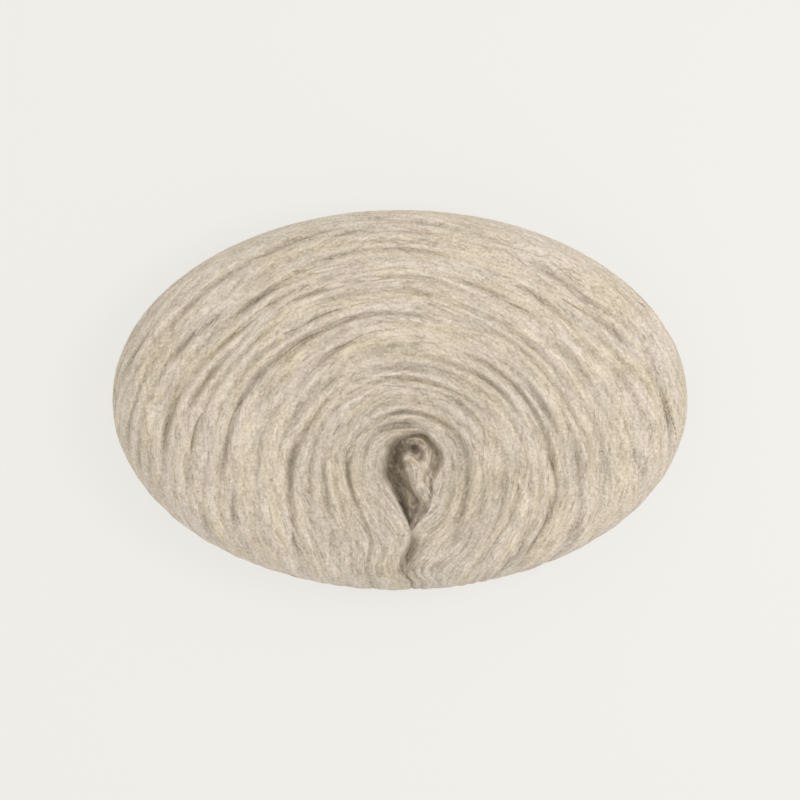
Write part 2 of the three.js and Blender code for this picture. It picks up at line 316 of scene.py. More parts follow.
# Bundles of the innermost turn, and how their strands bend and curl, spread, taper and differ in tint
BUNDLE_COLUMNS = ("name", "rows", "count", "half_widths", "lengths", "lift", "steps", "sides")
BUNDLES = (
    ("tongue_strands", TONGUE, 60, (0.3, 0.8), (6.0, 14.0), (-0.2, 0.4), 14, 6),
    ("hook_strands", HOOK, 50, (0.25, 0.6), (6.0, 16.0), (-0.2, 0.3), 16, 6),
    ("tongue_fibres", TONGUE, 110, (0.03, 0.06), (2.0, 7.0), (0.1, 1.0), 6, 3),
    ("hook_fibres", HOOK, 90, (0.03, 0.06), (2.0, 7.0), (0.1, 0.9), 6, 3),
)
BUNDLE_BEND = 0.5
BUNDLE_CURL = 0.3
BUNDLE_SPREAD = 0.75
BUNDLE_TAPER = 0.9
BUNDLE_FLATNESS = 0.7
BUNDLE_SHIFT = 400.0
BUNDLE_TINT = (0.6, 1.2)

# Layers of the wool's colour: scales along and across a strand, or the same each way, and shares of its level
STREAK_SCALE = (0.055, 0.42, 1.0)
STREAK_SHARE = 0.37
LINE_SCALE = (0.27, 1.15, 1.0)
LINE_SHARE = 0.25
FLECK_SCALE = (1000.0, 1000.0, 1000.0)
FLECK_SHARE = 0.25
LEVEL_DROP = 0.011
DARK_LEVEL = 0.05
MIDDLE_LEVEL = 0.5
LIGHT_LEVEL = 0.75
PATCH_SCALE = (0.03, 0.14, 1.0)
COOL_LEVEL = 0.34
WARM_LEVEL = 0.66
BUMP_STRENGTH = 0.4
BUMP_DISTANCE = 0.0006

# The stage in metres, and its camera
FLOOR_HALF_SIDE = 4.0
FLOOR_GLOW = 0.8
ROOM_LIGHT = 0.9
LAMP_PLACE = (0.3, 0.05, 0.5)
LAMP_SIZE = 0.3
LAMP_POWER = 0.9
LENS = 200.0
SENSOR_WIDTH = 36.0
VIEW_WIDTH = 0.320

# Steps of tables and of repeated workings, the share of the plan that is sure to be face, the spare draws of
# a scatter, and the least values that keep a division from zero
HALVINGS = 22
BEND_STEPS = 3
NEAREST_STEPS = 8
NEAREST_STRIDE = 0.3
MOUND_STEPS = 90
BUNDLE_STEPS = 200
EDGE_TABLE_STEPS = 361
OUTLINE_STEPS = 721
INNER_SHARE = 0.45
SCATTER_SPARE = 3
LEAST_BEND = 1e-6
LEAST_SINE = 1e-4

# Random draws: the size of the noise lattice, and one seed for each use
LATTICE = 256
SEEDS = {"skin": 11, "face": 23, "edge": 41, "fibres": 59, "eye": 71}


def smooth(value, start, end):
    """A smooth step from 0 at start to 1 at end."""
    share = np.clip((value - start) / (end - start), 0.0, 1.0)
    return share * share * (3.0 - 2.0 * share)


def bell(distance, spread):
    """A soft bump: 1 at zero, falling away to both sides."""
    return np.exp(-((distance / spread) ** 2))


def travelled(x, y):
    """Distance travelled along a line of points, from its first to each of them."""
    return np.concatenate(([0.0], np.cumsum(np.hypot(np.diff(x), np.diff(y)))))


def value_noise(u, v, seed):
    """Smooth noise from -1 to 1: random values on a lattice of whole numbers, blended by smooth steps."""
    lattice = np.random.default_rng(seed).uniform(-1.0, 1.0, (LATTICE, LATTICE))
    column, row = np.floor(u).astype(int), np.floor(v).astype(int)
    across, down = smooth(u - column, 0.0, 1.0), smooth(v - row, 0.0, 1.0)
    first = lattice[column % LATTICE, row % LATTICE]
    second = lattice[(column + 1) % LATTICE, row % LATTICE]
    third = lattice[column % LATTICE, (row + 1) % LATTICE]
    fourth = lattice[(column + 1) % LATTICE, (row + 1) % LATTICE]
    upper = first + (second - first) * across
    lower = third + (fourth - third) * across
    return upper + (lower - upper) * down


def noise_layer(layer, along, across, seed):
    """A layer of smooth noise with its own size and its own lengths along and across."""
    return layer["size"] * value_noise(along / layer["along"], across / layer["across"], seed)


def cleft_bend(fall):
    """How far the cleft winds to the left at a distance below the eye: one delayed wave of a cosine."""
    share = np.clip((fall - EYE_TIP) / CLEFT_WAVE, 0.0, 1.0)
    return -0.5 * CLEFT_MEANDER * (1.0 - np.cos(2.0 * np.pi * share**CLEFT_DELAY))


def leg_gathered(reach, fall, leg):
    """How far one leg has moved in: a smooth step down the fall, times a share that fades from the cleft."""
    start = leg["delay"] * np.minimum(reach / DELAY_REACH, 1.0)
    full = np.minimum(FALL_SHORTEST + leg["growth"] * reach, leg["longest"])
    fading = np.exp(-((reach / leg["spread"]) ** leg["power"]))
    return smooth(fall, start, full) * (EYE_RADIUS + leg["rise"] * reach) * fading


def gathered(reach, fall, side):
    """How far the legs have moved in towards the cleft, each by its own values."""
    return np.where(side < 0, leg_gathered(reach, fall, LEFT_LEG), leg_gathered(reach, fall, RIGHT_LEG))


def ring_coordinates(x, y):
    """Ring, degrees along it, distance across from the cleft and distance below the eye of plan points.

    Above the eye a ring is a circle squeezed in X. Below it the ring is the reach plus what has gathered.
    """
    fall = np.maximum(EYE_Y - y, 0.0)
    rise = np.maximum(y - EYE_Y, 0.0)
    across = (x - EYE_X - cleft_bend(fall) * bell(x - EYE_X, CLEFT_REACH)) * RING_SQUEEZE
    side = np.where(across < 0, -1.0, 1.0)
    reach = np.abs(across)
    ring = np.where(fall > 0, reach + gathered(reach, fall, side), np.hypot(across, rise))
    leg_along = side * (90.0 + DEGREES_PER_MM * fall)
    along = np.where(fall > 0, leg_along, np.degrees(np.arctan2(across, rise)))
    return ring, along, across, fall


def arc_length(ring, along):
    """Distance travelled on a ring from straight up: an arc to the eye's level, then the leg's fall."""
    turn = np.clip(along, -90.0, 90.0)
    fall = (along - turn) / DEGREES_PER_MM
    return ring * np.radians(turn) + fall


def along_from_arc(ring, arc):
    """Degrees along a ring from the distance travelled on it, the inverse of arc_length."""
    quarter = ring * np.pi / 2.0
    turn = np.clip(arc, -quarter, quarter)
    return np.degrees(turn / np.maximum(ring, 1.0)) + (arc - turn) * DEGREES_PER_MM


def plan_point(ring, along):
    """Plan point on a ring. On a leg the reach that gathers to the ring is found by halving."""
    side = np.where(along < 0, -1.0, 1.0)
    turn = np.radians(np.clip(along, -90.0, 90.0))
    fall = np.maximum(np.abs(along) - 90.0, 0.0) / DEGREES_PER_MM
    low, high = np.zeros_like(ring), np.maximum(ring, 0.0)
    for _ in range(HALVINGS):
        middle = 0.5 * (low + high)
        beyond = middle + gathered(middle, fall, side) > ring
        low, high = np.where(beyond, low, middle), np.where(beyond, middle, high)
    across = np.where(fall > 0, side * 0.5 * (low + high), ring * np.sin(turn)) / RING_SQUEEZE
    x = EYE_X + across
    for _ in range(BEND_STEPS):
        x = EYE_X + across + cleft_bend(fall) * bell(x - EYE_X, CLEFT_REACH)
    y = EYE_Y + np.where(fall > 0, -fall, ring * np.cos(turn))
    return x, y


def strand_ring(ring, along):
    """Ring on which a strand began: strands sink across the rings on both sides of a crest."""
    turned = np.clip(np.radians(along), -LEAN_END, LEAN_END) - LEAN_CREST
    return ring * (1.0 + STRAND_LEAN * (1.0 - np.hypot(turned, LEAN_TURN)))


def strand_slope(along):
    """Slope of the strands against their rings, outwards for each step along."""
    turned = np.radians(along) - LEAN_CREST
    leaning = np.abs(np.radians(along)) < LEAN_END
    return np.where(leaning, STRAND_LEAN * turned / np.hypot(turned, LEAN_TURN), 0.0)


def strand_wander(ring, arc):
    """How far the strands stray from their way: a long sway and a shorter one."""
    seed = SEEDS["skin"]
    return noise_layer(LONG_SWAY, arc, ring, seed) + noise_layer(SHORT_SWAY, arc, ring, seed + 1)


def strand_relief(ring, along):
    """Relief of the single strands: wandering ridges between valleys, and short streaks.

    A ridge is a low power of a squared sine. Its valleys come and go with noise, are deeper on the flanks and
    calmer on the legs, and fade at the eye's lip.
    """
    arc = arc_length(ring, along)
    seed = SEEDS["skin"]
    strand = strand_ring(ring, along) + strand_wander(ring, arc)
    wave = np.sin(np.pi * strand / STRAND_PITCH) ** 2
    ridge = ((wave + VALLEY_ROUND) / (1.0 + VALLEY_ROUND)) ** VALLEY_POWER
    shown = SHOWN_LEAST + SHOWN_MORE * smooth(noise_layer(SHOWN, arc, strand, seed + 2), *SHOWN_STEP)
    flank = FLANK_SHARE * smooth(ring, *FLANK_RINGS) * smooth(np.abs(along), *FLANK_DEGREES)
    calm = np.where(along < 0.0, LEFT_CALM, RIGHT_CALM) * smooth(np.abs(along), *LEG_DEGREES)
    streaks = noise_layer(STREAKS, arc, strand, seed + 3)
    relief = STRAND_DEPTH * (shown + flank) * (1.0 - calm) * (ridge - 1.0) + streaks
    return relief * smooth(ring, *LIP_RINGS)


def press_depth(ring, along, across, fall):
    """How deep the skin is pressed in: bands that climb by one in a turn, folds, the cleft and strands."""
    turns = ring / BAND_PITCH - along / 360.0
    depth = 0.5 * BAND_DEPTH * (1.0 - np.cos(2.0 * np.pi * turns))
    strayed = ring + FOLD_WANDER * strand_wander(ring, arc_length(ring, along))
    for row in FOLDS:
        fold = dict(zip(FOLD_COLUMNS, row))
        progress = (along - fold["start"]) / (fold["end"] - fold["start"])
        distance = strayed - fold["ring"] - fold["drift"] * progress
        fade = min(FOLD_FADE, FOLD_FADE_SHARE * (fold["end"] - fold["start"]))
        begun = smooth(along, fold["start"] - fade, fold["start"] + fade)
        ended = smooth(along, fold["end"] - fade, fold["end"] + fade)
        depth = depth + FOLD_SHARE * fold["depth"] * bell(distance, fold["half_width"]) * (begun - ended)
    closing = 1.0 - CLEFT_CLOSED * smooth(fall, *CLEFT_CLOSING)
    half_width = np.where(across < 0, CLEFT_LEFT_WIDTH, CLEFT_RIGHT_WIDTH)
    cleft = CLEFT_DEPTH * bell(across, half_width) * smooth(fall, CLEFT_START, CLEFT_FULL)
    return depth + cleft * closing - strand_relief(ring, along)


def eye_reach(azimuth):
    """Reach of the eye's lip from its middle: a circle drawn to a tip at the cleft, with soft bulges."""
    from_cleft = np.arccos(np.clip(-np.sin(azimuth), -1.0, 1.0))
    radius = EYE_RADIUS / RING_SQUEEZE
    tangent = np.arccos(radius / EYE_TIP)
    reach = radius / np.cos(np.maximum(tangent - from_cleft, 0.0))
    for row in BULGES:
        bulge = dict(zip(BULGE_COLUMNS, row))
        chord = 2.0 * np.sin(0.5 * (azimuth - bulge["azimuth"]))
        reach = reach + bulge["size"] * bell(chord, bulge["spread"])
    return reach


def eye_sunk(share, azimuth):
    """Share of the eye's depth at a share of its reach.

    The wall is a smooth step, wide on the upper left like a funnel, and the floor is shallower on the side of
    the innermost turn.
    """
    tongue = smooth(np.cos(azimuth - TONGUE_AZIMUTH), *TONGUE_FADE)
    funnel = smooth(np.cos(azimuth - FUNNEL_AZIMUTH), *FUNNEL_FADE)
    wall = (WALL_SHARE + FUNNEL_SHARE * funnel) * EYE_RADIUS / (RING_SQUEEZE * eye_reach(azimuth))
    return (1.0 - TONGUE_SHARE * tongue) * smooth(1.0 - share, 0.0, wall)


def smooth_path(rows, steps):
    """A smooth curve through a table's rows: cubics that pass each row in its neighbours' direction."""
    rows = np.asarray(rows, float)
    padded = np.concatenate((2.0 * rows[:1] - rows[1:2], rows, 2.0 * rows[-1:] - rows[-2:-1]))
    place = np.linspace(0.0, len(rows) - 1.0, steps)
    index = np.minimum(place.astype(int), len(rows) - 2)
    share = (place - index)[:, None]
    before, first, second, after = (padded[index + offset] for offset in range(4))
    straight = 0.5 * (second - before)
    bend = before - 2.5 * first + 2.0 * second - 0.5 * after
    twist = 0.5 * (after - before) + 1.5 * (first - second)
    return first + share * (straight + share * (bend + share * twist))


def turn_path(rows, steps):
    """Named columns of a smooth path through a turn's rows."""
    return dict(zip(TURN_COLUMNS, smooth_path(rows, steps).T))


def turn_height(x, y, rows):
    """Height of a soft mound along a path: its top on the middle line, falling away over its half width."""
    path = turn_path(rows, MOUND_STEPS)
    distance = np.hypot(x[:, None] - path["x"], y[:, None] - path["y"])
    nearest = np.argmin(distance, axis=1)
    share = np.min(distance, axis=1) / path["half_width"][nearest]
    return EYE_FLOOR + (path["height"][nearest] - EYE_FLOOR) * np.exp(-(share**MOUND_SQUARENESS))


def eye_rough(x, y):
    """Fuzz in the eye: the sum of a coarse and a fine layer of noise."""
    seed = SEEDS["eye"]
    return noise_layer(COARSE_FUZZ, x, y, seed) + noise_layer(FINE_FUZZ, x, y, seed + 1)


def face_height(x, y):
    """Height of the face: a lean to the far edge, a slight dome, the dish, the lip, the lobe and the eye.

    In the eye the mounds of the innermost turn join the floor by a soft maximum, and fuzz is added.
    """
    ring, _, across, fall = ring_coordinates(x, y)
    lean = NEAR_HEIGHT + (FAR_HEIGHT - NEAR_HEIGHT) * (y / (2.0 * HALF_DEPTH) + 0.5)
    dome = DOME * (1.0 - (x / HALF_WIDTH) ** 2 - (y / HALF_DEPTH) ** 2)
    beyond = np.maximum(ring - EYE_RADIUS, 0.0)
    dish = DISH_DEPTH * bell(beyond, DISH_SPREAD) + LIP_DROP * bell(beyond, LIP_SPREAD)
    lobe = np.where(across < 0, LOBE_LIFT * bell(across, LOBE_REACH), 0.0) * smooth(fall, 0.0, EYE_TIP)
    face = lean + dome - dish + lobe
    azimuth = np.arctan2(y - EYE_Y, x - EYE_X)
    share = np.minimum(np.hypot(x - EYE_X, y - EYE_Y) / eye_reach(azimuth), 1.0)
    height = face + (EYE_FLOOR - face) * eye_sunk(share, azimuth)
    inside = share < 1.0
    for rows in (TONGUE, HOOK, APRON, FOOT):
        mound = turn_height(x[inside], y[inside], rows) / TURN_SOFTNESS
        height[inside] = TURN_SOFTNESS * np.logaddexp(height[inside] / TURN_SOFTNESS, mound)
    return height + EYE_ROUGH * eye_rough(x, y) * smooth(1.0 - share, 0.0, EYE_ROUGH_FADE)


def edge_profile(angle, face_end):
    """Inset, height and normal of the edge at an angle: quarters of two squared ovals meet at the waist."""
    power = 2.0 / EDGE_SQUARENESS
    sine = np.maximum(np.sin(angle), LEAST_SINE)
    cosine = np.maximum(np.abs(np.cos(angle)), LEAST_SINE)
    upper = angle <= np.pi / 2.0
    width = np.where(upper, RIM_INSET, FOOT_INSET)
    tall = np.where(upper, face_end - WAIST, WAIST)
    sign = np.where(upper, 1.0, -1.0)
    inset = width * (1.0 - sine**power)
    height = WAIST + sign * tall * cosine**power
    outward = tall * cosine ** (power - 1.0) * sine
    upward = sign * width * sine ** (power - 1.0) * cosine
    length = np.hypot(outward, upward)
    return inset, np.maximum(height, 0.0), outward / length, upward / length


def travel_table():
    """Distance travelled over the edge's profile for even steps of its angle."""
    angles = np.linspace(0.0, np.pi, EDGE_TABLE_STEPS)
    inset, height, _, _ = edge_profile(angles, MEAN_FACE_END)
    return angles, travelled(inset, height)


EDGE_ANGLES, EDGE_TRAVELS = travel_table()
EDGE_TRAVEL = EDGE_TRAVELS[-1]


def outline(turn):
    """Point and outward normal of the oval outline at its own parameter."""
    x, y = HALF_WIDTH * np.cos(turn), HALF_DEPTH * np.sin(turn)
    normal_x, normal_y = HALF_DEPTH * np.cos(turn), HALF_WIDTH * np.sin(turn)
    length = np.hypot(normal_x, normal_y)
    return x, y, normal_x / length, normal_y / length


def nearest_turn(x, y):
    """Parameter of the outline's point nearest to a plan point, by repeated steps of slope over bend."""
    turn = np.arctan2(HALF_WIDTH * y, HALF_DEPTH * x)
    gap = HALF_WIDTH**2 - HALF_DEPTH**2
    for _ in range(NEAREST_STEPS):
        cosine, sine = np.cos(turn), np.sin(turn)
        slope = gap * cosine * sine - x * HALF_WIDTH * sine + y * HALF_DEPTH * cosine
        bend = gap * (cosine**2 - sine**2) - x * HALF_WIDTH * cosine - y * HALF_DEPTH * sine
        bend = np.where(np.abs(bend) < LEAST_BEND, LEAST_BEND, bend)
        turn = turn - np.clip(slope / bend, -NEAREST_STRIDE, NEAREST_STRIDE)
    return turn


def plate_point(x, y, lift):
    """Points above the pressed skin. A flat plan point past the face's end is wrapped over the edge.

    Each plan point keeps its distance past the face's end as travel over the edge's profile.
    """
    ring, along, across, fall = ring_coordinates(x, y)
    pressed = press_depth(ring, along, across, fall)
    inner = (x / HALF_WIDTH) ** 2 + (y / HALF_DEPTH) ** 2 < INNER_SHARE
    turn = nearest_turn(np.where(inner, HALF_WIDTH, x), np.where(inner, 0.0, y))
    out_x, out_y, normal_x, normal_y = outline(turn)
    travel = (x - out_x) * normal_x + (y - out_y) * normal_y + RIM_INSET
    on_edge = (travel > 0.0) & ~inner
    end_x, end_y = out_x - RIM_INSET * normal_x, out_y - RIM_INSET * normal_y
    face_end = face_height(end_x, end_y)
    angle = np.interp(np.clip(travel, 0.0, EDGE_TRAVEL), EDGE_TRAVELS, EDGE_ANGLES)
    inset, height, outward, upward = edge_profile(angle, face_end)
    calmed = 1.0 - EDGE_CALM * smooth(travel, *EDGE_CALM_TRAVEL)
    edge_lift = lift * calmed - pressed * calmed * smooth(height, 0.0, SMOOTH_FOOT)
    out = edge_lift * outward - inset
    edge = np.stack((out_x + out * normal_x, out_y + out * normal_y, height + edge_lift * upward), -1)
    face = np.stack((x, y, face_height(x, y) + lift - pressed), -1)
    points = np.where(on_edge[..., None], edge, face)
    return np.maximum(points, (-np.inf, -np.inf, 0.0))


def painted_shade_of(x, y):
    """How much painted shade darkens the wool's colour at a plan point, from 0 to about 1.

    Outside the eye it grows with the depth of a valley, towards the eye and towards the rim, and in the eye
    with the depth below its lip, mottled by the fuzz.
    """
    # Painted shade: valleys, the dish round the eye, the eye's depth and the rim are darkened in colour
    where = ring_coordinates(x, y)
    valley = np.clip(VALLEY_SHADE * (press_depth(*where) - VALLEY_START), 0.0, 1.0)
    round_eye = DISH_SHADE * bell(np.maximum(where[0] - EYE_RADIUS, 0.0), DISH_SHADE_SPREAD)
    rim = RIM_SHADE * smooth(np.hypot(x / HALF_WIDTH, y / HALF_DEPTH), RIM_SHADE_START, 1.0)
    azimuth = np.arctan2(y - EYE_Y, x - EYE_X)
    inside = np.hypot(x - EYE_X, y - EYE_Y) < eye_reach(azimuth)
    below = (EYE_SHADE_TOP - face_height(x, y)) / EYE_SHADE_DROP
    sunk = np.clip(below - EYE_MOTTLE * eye_rough(x, y), 0.0, EYE_SHADE_MOST)
    return np.where(inside, sunk, np.minimum(valley + round_eye + rim, 1.0))


def scatter_on_face(count, gap, draws):
    """Plan points spread evenly over the face, with a gap to the eye's lip."""
    drawn = SCATTER_SPARE * count
    radius, turn = np.sqrt(draws.random(drawn)), 2.0 * np.pi * draws.random(drawn)
    x = (HALF_WIDTH - 0.5 * RIM_INSET) * radius * np.cos(turn)
    y = (HALF_DEPTH - 0.5 * RIM_INSET) * radius * np.sin(turn)
    azimuth = np.arctan2(y - EYE_Y, x - EYE_X)
    clear = np.hypot(x - EYE_X, y - EYE_Y) > eye_reach(azimuth) + gap
    return x[clear][:count], y[clear][:count]


def scatter_on_edge(count, draws):
    """Flat plan points spread evenly along the outline and over the edge's travel."""
    turns = np.linspace(0.0, 2.0 * np.pi, OUTLINE_STEPS)
    x, y, _, _ = outline(turns)
    lengths = travelled(x, y)
    turn = np.interp(draws.random(count) * lengths[-1], lengths, turns)
    out_x, out_y, normal_x, normal_y = outline(turn)
    past = draws.random(count) * (EDGE_TRAVEL - FOOT_MARGIN) - RIM_INSET
    return out_x + past * normal_x, out_y + past * normal_y


def mesh_piece(name, points, face_groups, material, attributes):
    """A smooth mesh object at the origin from arrays: points in millimetres, and faces grouped by size."""
    mesh = bpy.data.meshes.new(name)
    loops = np.concatenate([faces.ravel() for faces in face_groups])
    totals = np.concatenate([np.full(len(faces), faces.shape[1]) for faces in face_groups])
    starts = np.concatenate(([0], np.cumsum(totals)[:-1]))
    mesh.vertices.add(len(points))
    mesh.vertices.foreach_set("co", (points * MM).astype(np.float32).ravel())
    mesh.loops.add(len(loops))
    mesh.loops.foreach_set("vertex_index", loops.astype(np.int32))
    mesh.polygons.add(len(totals))
    mesh.polygons.foreach_set("loop_start", starts.astype(np.int32))
    mesh.polygons.foreach_set("loop_total", totals.astype(np.int32))
    mesh.polygons.foreach_set("use_smooth", np.ones(len(totals), bool))
    mesh.update(calc_edges=True)
    for key, values in attributes.items():
        vector = values.ndim == 2
        attribute = mesh.attributes.new(key, "FLOAT_VECTOR" if vector else "FLOAT", "POINT")
        attribute.data.foreach_set("vector" if vector else "value", values.astype(np.float32).ravel())
    mesh.materials.append(material)
    piece = bpy.data.objects.new(name, mesh)
    bpy.context.scene.collection.objects.link(piece)
    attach(piece, BODY)
    return piece


def tube_faces(count, steps, sides):
    """Quads round each of count tubes of steps sections, and the caps that close both ends."""
    tube = np.arange(count)[:, None, None] * steps * sides
    step = np.arange(steps - 1)[None, :, None] * sides
    side, following = np.arange(sides)[None, None, :], (np.arange(sides)[None, None, :] + 1) % sides
    start = tube + step
    quads = np.stack((start + side, start + sides + side, start + sides + following, start + following), -1)
    ring = np.arange(sides)[None, :]
    first = np.arange(count)[:, None] * steps * sides + ring
    last = (np.arange(count)[:, None] + 1) * steps * sides - 1 - ring
    return quads.reshape(-1, 4), np.concatenate((first, last))


def lock_points(middle_x, middle_y, length, half_width, height, lift, drift, draws):
    """Locks laid along the rings through given plan points, as arrays of locks, steps and section points.

    A lock follows its ring for its length, drifts and waves a little across it, swells in the middle,
    and its thin ends dip under the skin.
    """
    ring, along, _, _ = ring_coordinates(middle_x, middle_y)
    middle_arc = arc_length(ring, along)
    place = np.linspace(-1.0, 1.0, LOCK_STEPS)[None, :]
    arc = middle_arc[:, None] + 0.5 * length[:, None] * place
    phase = draws.uniform(0.0, 2.0 * np.pi, (len(ring), 1))
    turned = phase + place * LOCK_WAVE_TURN * length[:, None]
    wave = draws.uniform(*LOCK_WAVE, (len(ring), 1)) * np.sin(turned)
    lean = 0.5 * length * strand_slope(along)
    centre = ring[:, None] + (drift + lean)[:, None] * place + wave
    full = (1.0 - np.abs(place) ** LOCK_TAPER[0]) ** LOCK_TAPER[1]
    width = half_width[:, None] * (LOCK_END_WIDTH + (1.0 - LOCK_END_WIDTH) * full)
    tall = height[:, None] * (LOCK_END_HEIGHT + (1.0 - LOCK_END_HEIGHT) * full)
    above = lift[:, None] - LOCK_END_DIP * np.abs(place) ** 4
    across = centre[..., None] + width[..., None] * LOCK_ACROSS
    arcs = np.broadcast_to(arc[..., None], across.shape)
    lifted = above[..., None] + tall[..., None] * LOCK_HEIGHT
    x, y = plan_point(np.maximum(across, 1.0), along_from_arc(np.maximum(centre, 1.0)[..., None], arcs))
    return plate_point(x, y, lifted), painted_shade_of(x, y), arcs, across


def lock_piece(name, middles, draws, material):
    """One piece of locks at plan points, each size drawn between its least and its most."""
    middle_x, middle_y = middles
    count = len(middle_x)
    drawn = {key: draws.uniform(*limits, count) for key, limits in LOCK_SIZES.items()}
    points, shade, arcs, across = lock_points(middle_x, middle_y, **drawn, draws=draws)
    quads, caps = tube_faces(count, LOCK_STEPS, len(LOCK_ACROSS))
    strand = np.stack((arcs, across, np.zeros_like(across)), -1)
    tint = np.broadcast_to(draws.normal(0.0, 1.0, (count, 1, 1)), across.shape)
    attributes = {"strand": strand.reshape(-1, 3), "tint": tint.ravel(), "shade": shade.ravel()}
    return mesh_piece(name, points.reshape(-1, 3), (quads, caps), material, attributes)


def fibre_piece(name, middles, half_width, draws, material):
    """One piece of loose fibres at plan points, each a thin, evenly bent tube roughly along its ring."""
    middle_x, middle_y = middles
    count = len(middle_x)
    ring, along, _, _ = ring_coordinates(middle_x, middle_y)
    place = np.linspace(-1.0, 1.0, FIBRE_STEPS)[None, :]
    length = draws.uniform(*FIBRE_HALF_LENGTH, (count, 1))
    heading = draws.normal(0.0, FIBRE_HEADING, (count, 1))
    heading = heading + draws.normal(0.0, FIBRE_BEND, (count, 1)) * place
    heading = heading + strand_slope(along)[:, None]
    out = ring[:, None] + length * place * np.sin(heading)
    arc = arc_length(ring, along)[:, None] + length * place * np.cos(heading)
    lift = draws.uniform(*FIBRE_LIFT, (count, 1)) * (1.0 - 0.5 * place**2)
    lift = lift + draws.uniform(*FIBRE_TILT, (count, 1)) * place
    width = half_width * draws.uniform(*FIBRE_WIDTHS, (count, 1)) * (1.0 - FIBRE_TAPER * place**4)
    across = width[..., None] * FIBRE_ACROSS
    fibre_ring = np.maximum(out[..., None] + across * np.cos(heading)[..., None], 1.0)
    fibre_arc = arc[..., None] - across * np.sin(heading)[..., None]
    x, y = plan_point(fibre_ring, along_from_arc(np.maximum(out, 1.0)[..., None], fibre_arc))
    points = plate_point(x, y, lift[..., None] + width[..., None] * FIBRE_HEIGHT)
    faces = tube_faces(count, FIBRE_STEPS, len(FIBRE_ACROSS))
    strand = np.stack((fibre_arc, fibre_ring, np.zeros_like(fibre_arc)), -1)
    tint = np.broadcast_to(draws.normal(*FIBRE_TINT, (count, 1, 1)), across.shape)
    attributes = {"strand": strand.reshape(-1, 3), "tint": tint.ravel(), "shade": painted_shade_of(x, y).ravel()}
    return mesh_piece(name, points.reshape(-1, 3), faces, material, attributes)


def turn_strands(rows, count, half_widths, lengths, lift, steps, sides, draws):
    """Points, faces and attributes of strands along a mound in the eye.

    Each starts at its own share of the path, keeps a place across it, sways a little, lies on the mound and
    tapers to both ends.
    """
    path = turn_path(rows, BUNDLE_STEPS)
    length = travelled(path["x"], path["y"])
    span = np.minimum(draws.uniform(*lengths, (count, 1)) / length[-1], 1.0)
    share = draws.random((count, 1)) * (1.0 - span) + span * np.linspace(0.0, 1.0, steps)[None, :]
    turn_x, turn_y = np.gradient(path["x"]), np.gradient(path["y"])
    stride = np.hypot(turn_x, turn_y)
    columns = (path["x"], path["y"], path["half_width"], turn_x / stride, turn_y / stride)
    middle_x, middle_y, half_width, ahead_x, ahead_y = (
        np.interp(share * length[-1], length, column) for column in columns
    )
    place = np.linspace(-1.0, 1.0, steps)[None, :]
    sway = draws.normal(0.0, BUNDLE_BEND, (count, 1)) * place
    sway = sway + draws.normal(0.0, BUNDLE_CURL, (count, 1)) * place**2
    offset = draws.uniform(-BUNDLE_SPREAD, BUNDLE_SPREAD, (count, 1)) * half_width + sway
    width = draws.uniform(*half_widths, (count, 1)) * (1.0 - BUNDLE_TAPER * np.abs(place) ** 3)
    round_turn = np.linspace(0.0, 2.0 * np.pi, sides, endpoint=False)
    across = width[..., None] * np.cos(round_turn)
    x = (middle_x - ahead_y * offset)[..., None] - ahead_y[..., None] * across
    y = (middle_y + ahead_x * offset)[..., None] + ahead_x[..., None] * across
    raised = draws.uniform(*lift, (count, 1)) * (1.0 - np.abs(place) ** 3)
    points = plate_point(x, y, raised[..., None] + BUNDLE_FLATNESS * width[..., None] * np.sin(round_turn))
    shift = draws.uniform(0.0, BUNDLE_SHIFT, (count, 1, 1))
    arc = (share * length[-1])[..., None]
    strand = np.stack(np.broadcast_arrays(arc + shift, across + shift, shift), -1)
    tint = np.broadcast_to(draws.normal(*BUNDLE_TINT, (count, 1, 1)), x.shape)
    attributes = {"strand": strand.reshape(-1, 3), "tint": tint.ravel(), "shade": painted_shade_of(x, y).ravel()}
    return points.reshape(-1, 3), tube_faces(count, steps, sides), attributes


def skin_rows(azimuth):
    """Flat plan points of the skin, a row for each section from the eye to the foot.

    Rays from the eye's middle meet its lip and the outline. Rows go from the floor's middle to the lip, on to
    the face's end, and then straight along the outline's normals for the travel over the edge.
    """
    ray_x, ray_y = np.cos(azimuth), np.sin(azimuth)
    reach = eye_reach(azimuth)
    lip_x, lip_y = EYE_X + reach * ray_x, EYE_Y + reach * ray_y
    square = (ray_x / HALF_WIDTH) ** 2 + (ray_y / HALF_DEPTH) ** 2
    lean = EYE_X * ray_x / HALF_WIDTH**2 + EYE_Y * ray_y / HALF_DEPTH**2
    within = (EYE_X / HALF_WIDTH) ** 2 + (EYE_Y / HALF_DEPTH) ** 2 - 1.0
    distance = (-lean + np.sqrt(lean * lean - square * within)) / square
    rim_x, rim_y = EYE_X + distance * ray_x, EYE_Y + distance * ray_y
    _, _, normal_x, normal_y = outline(np.arctan2(rim_y / HALF_DEPTH, rim_x / HALF_WIDTH))
    end_x, end_y = rim_x - RIM_INSET * normal_x, rim_y - RIM_INSET * normal_y
    share = (1.0 - (1.0 - np.arange(1, EYE_ROWS) / EYE_ROWS) ** EYE_ROW_POWER)[:, None]
    eye_x = EYE_X + EYE_FLOOR_SHIFT[0] * (1.0 - share) + share * (lip_x - EYE_X)
    eye_y = EYE_Y + EYE_FLOOR_SHIFT[1] * (1.0 - share) + share * (lip_y - EYE_Y)
    share = np.linspace(0.0, 1.0, FACE_ROWS)[:, None] ** FACE_ROW_POWER
    face_x, face_y = lip_x + share * (end_x - lip_x), lip_y + share * (end_y - lip_y)
    travel = (EDGE_TRAVEL * np.arange(1, EDGE_ROWS + 1) / EDGE_ROWS)[:, None]
    edge_x, edge_y = end_x + travel * normal_x, end_y + travel * normal_y
    return np.concatenate((eye_x, face_x, edge_x)), np.concatenate((eye_y, face_y, edge_y))


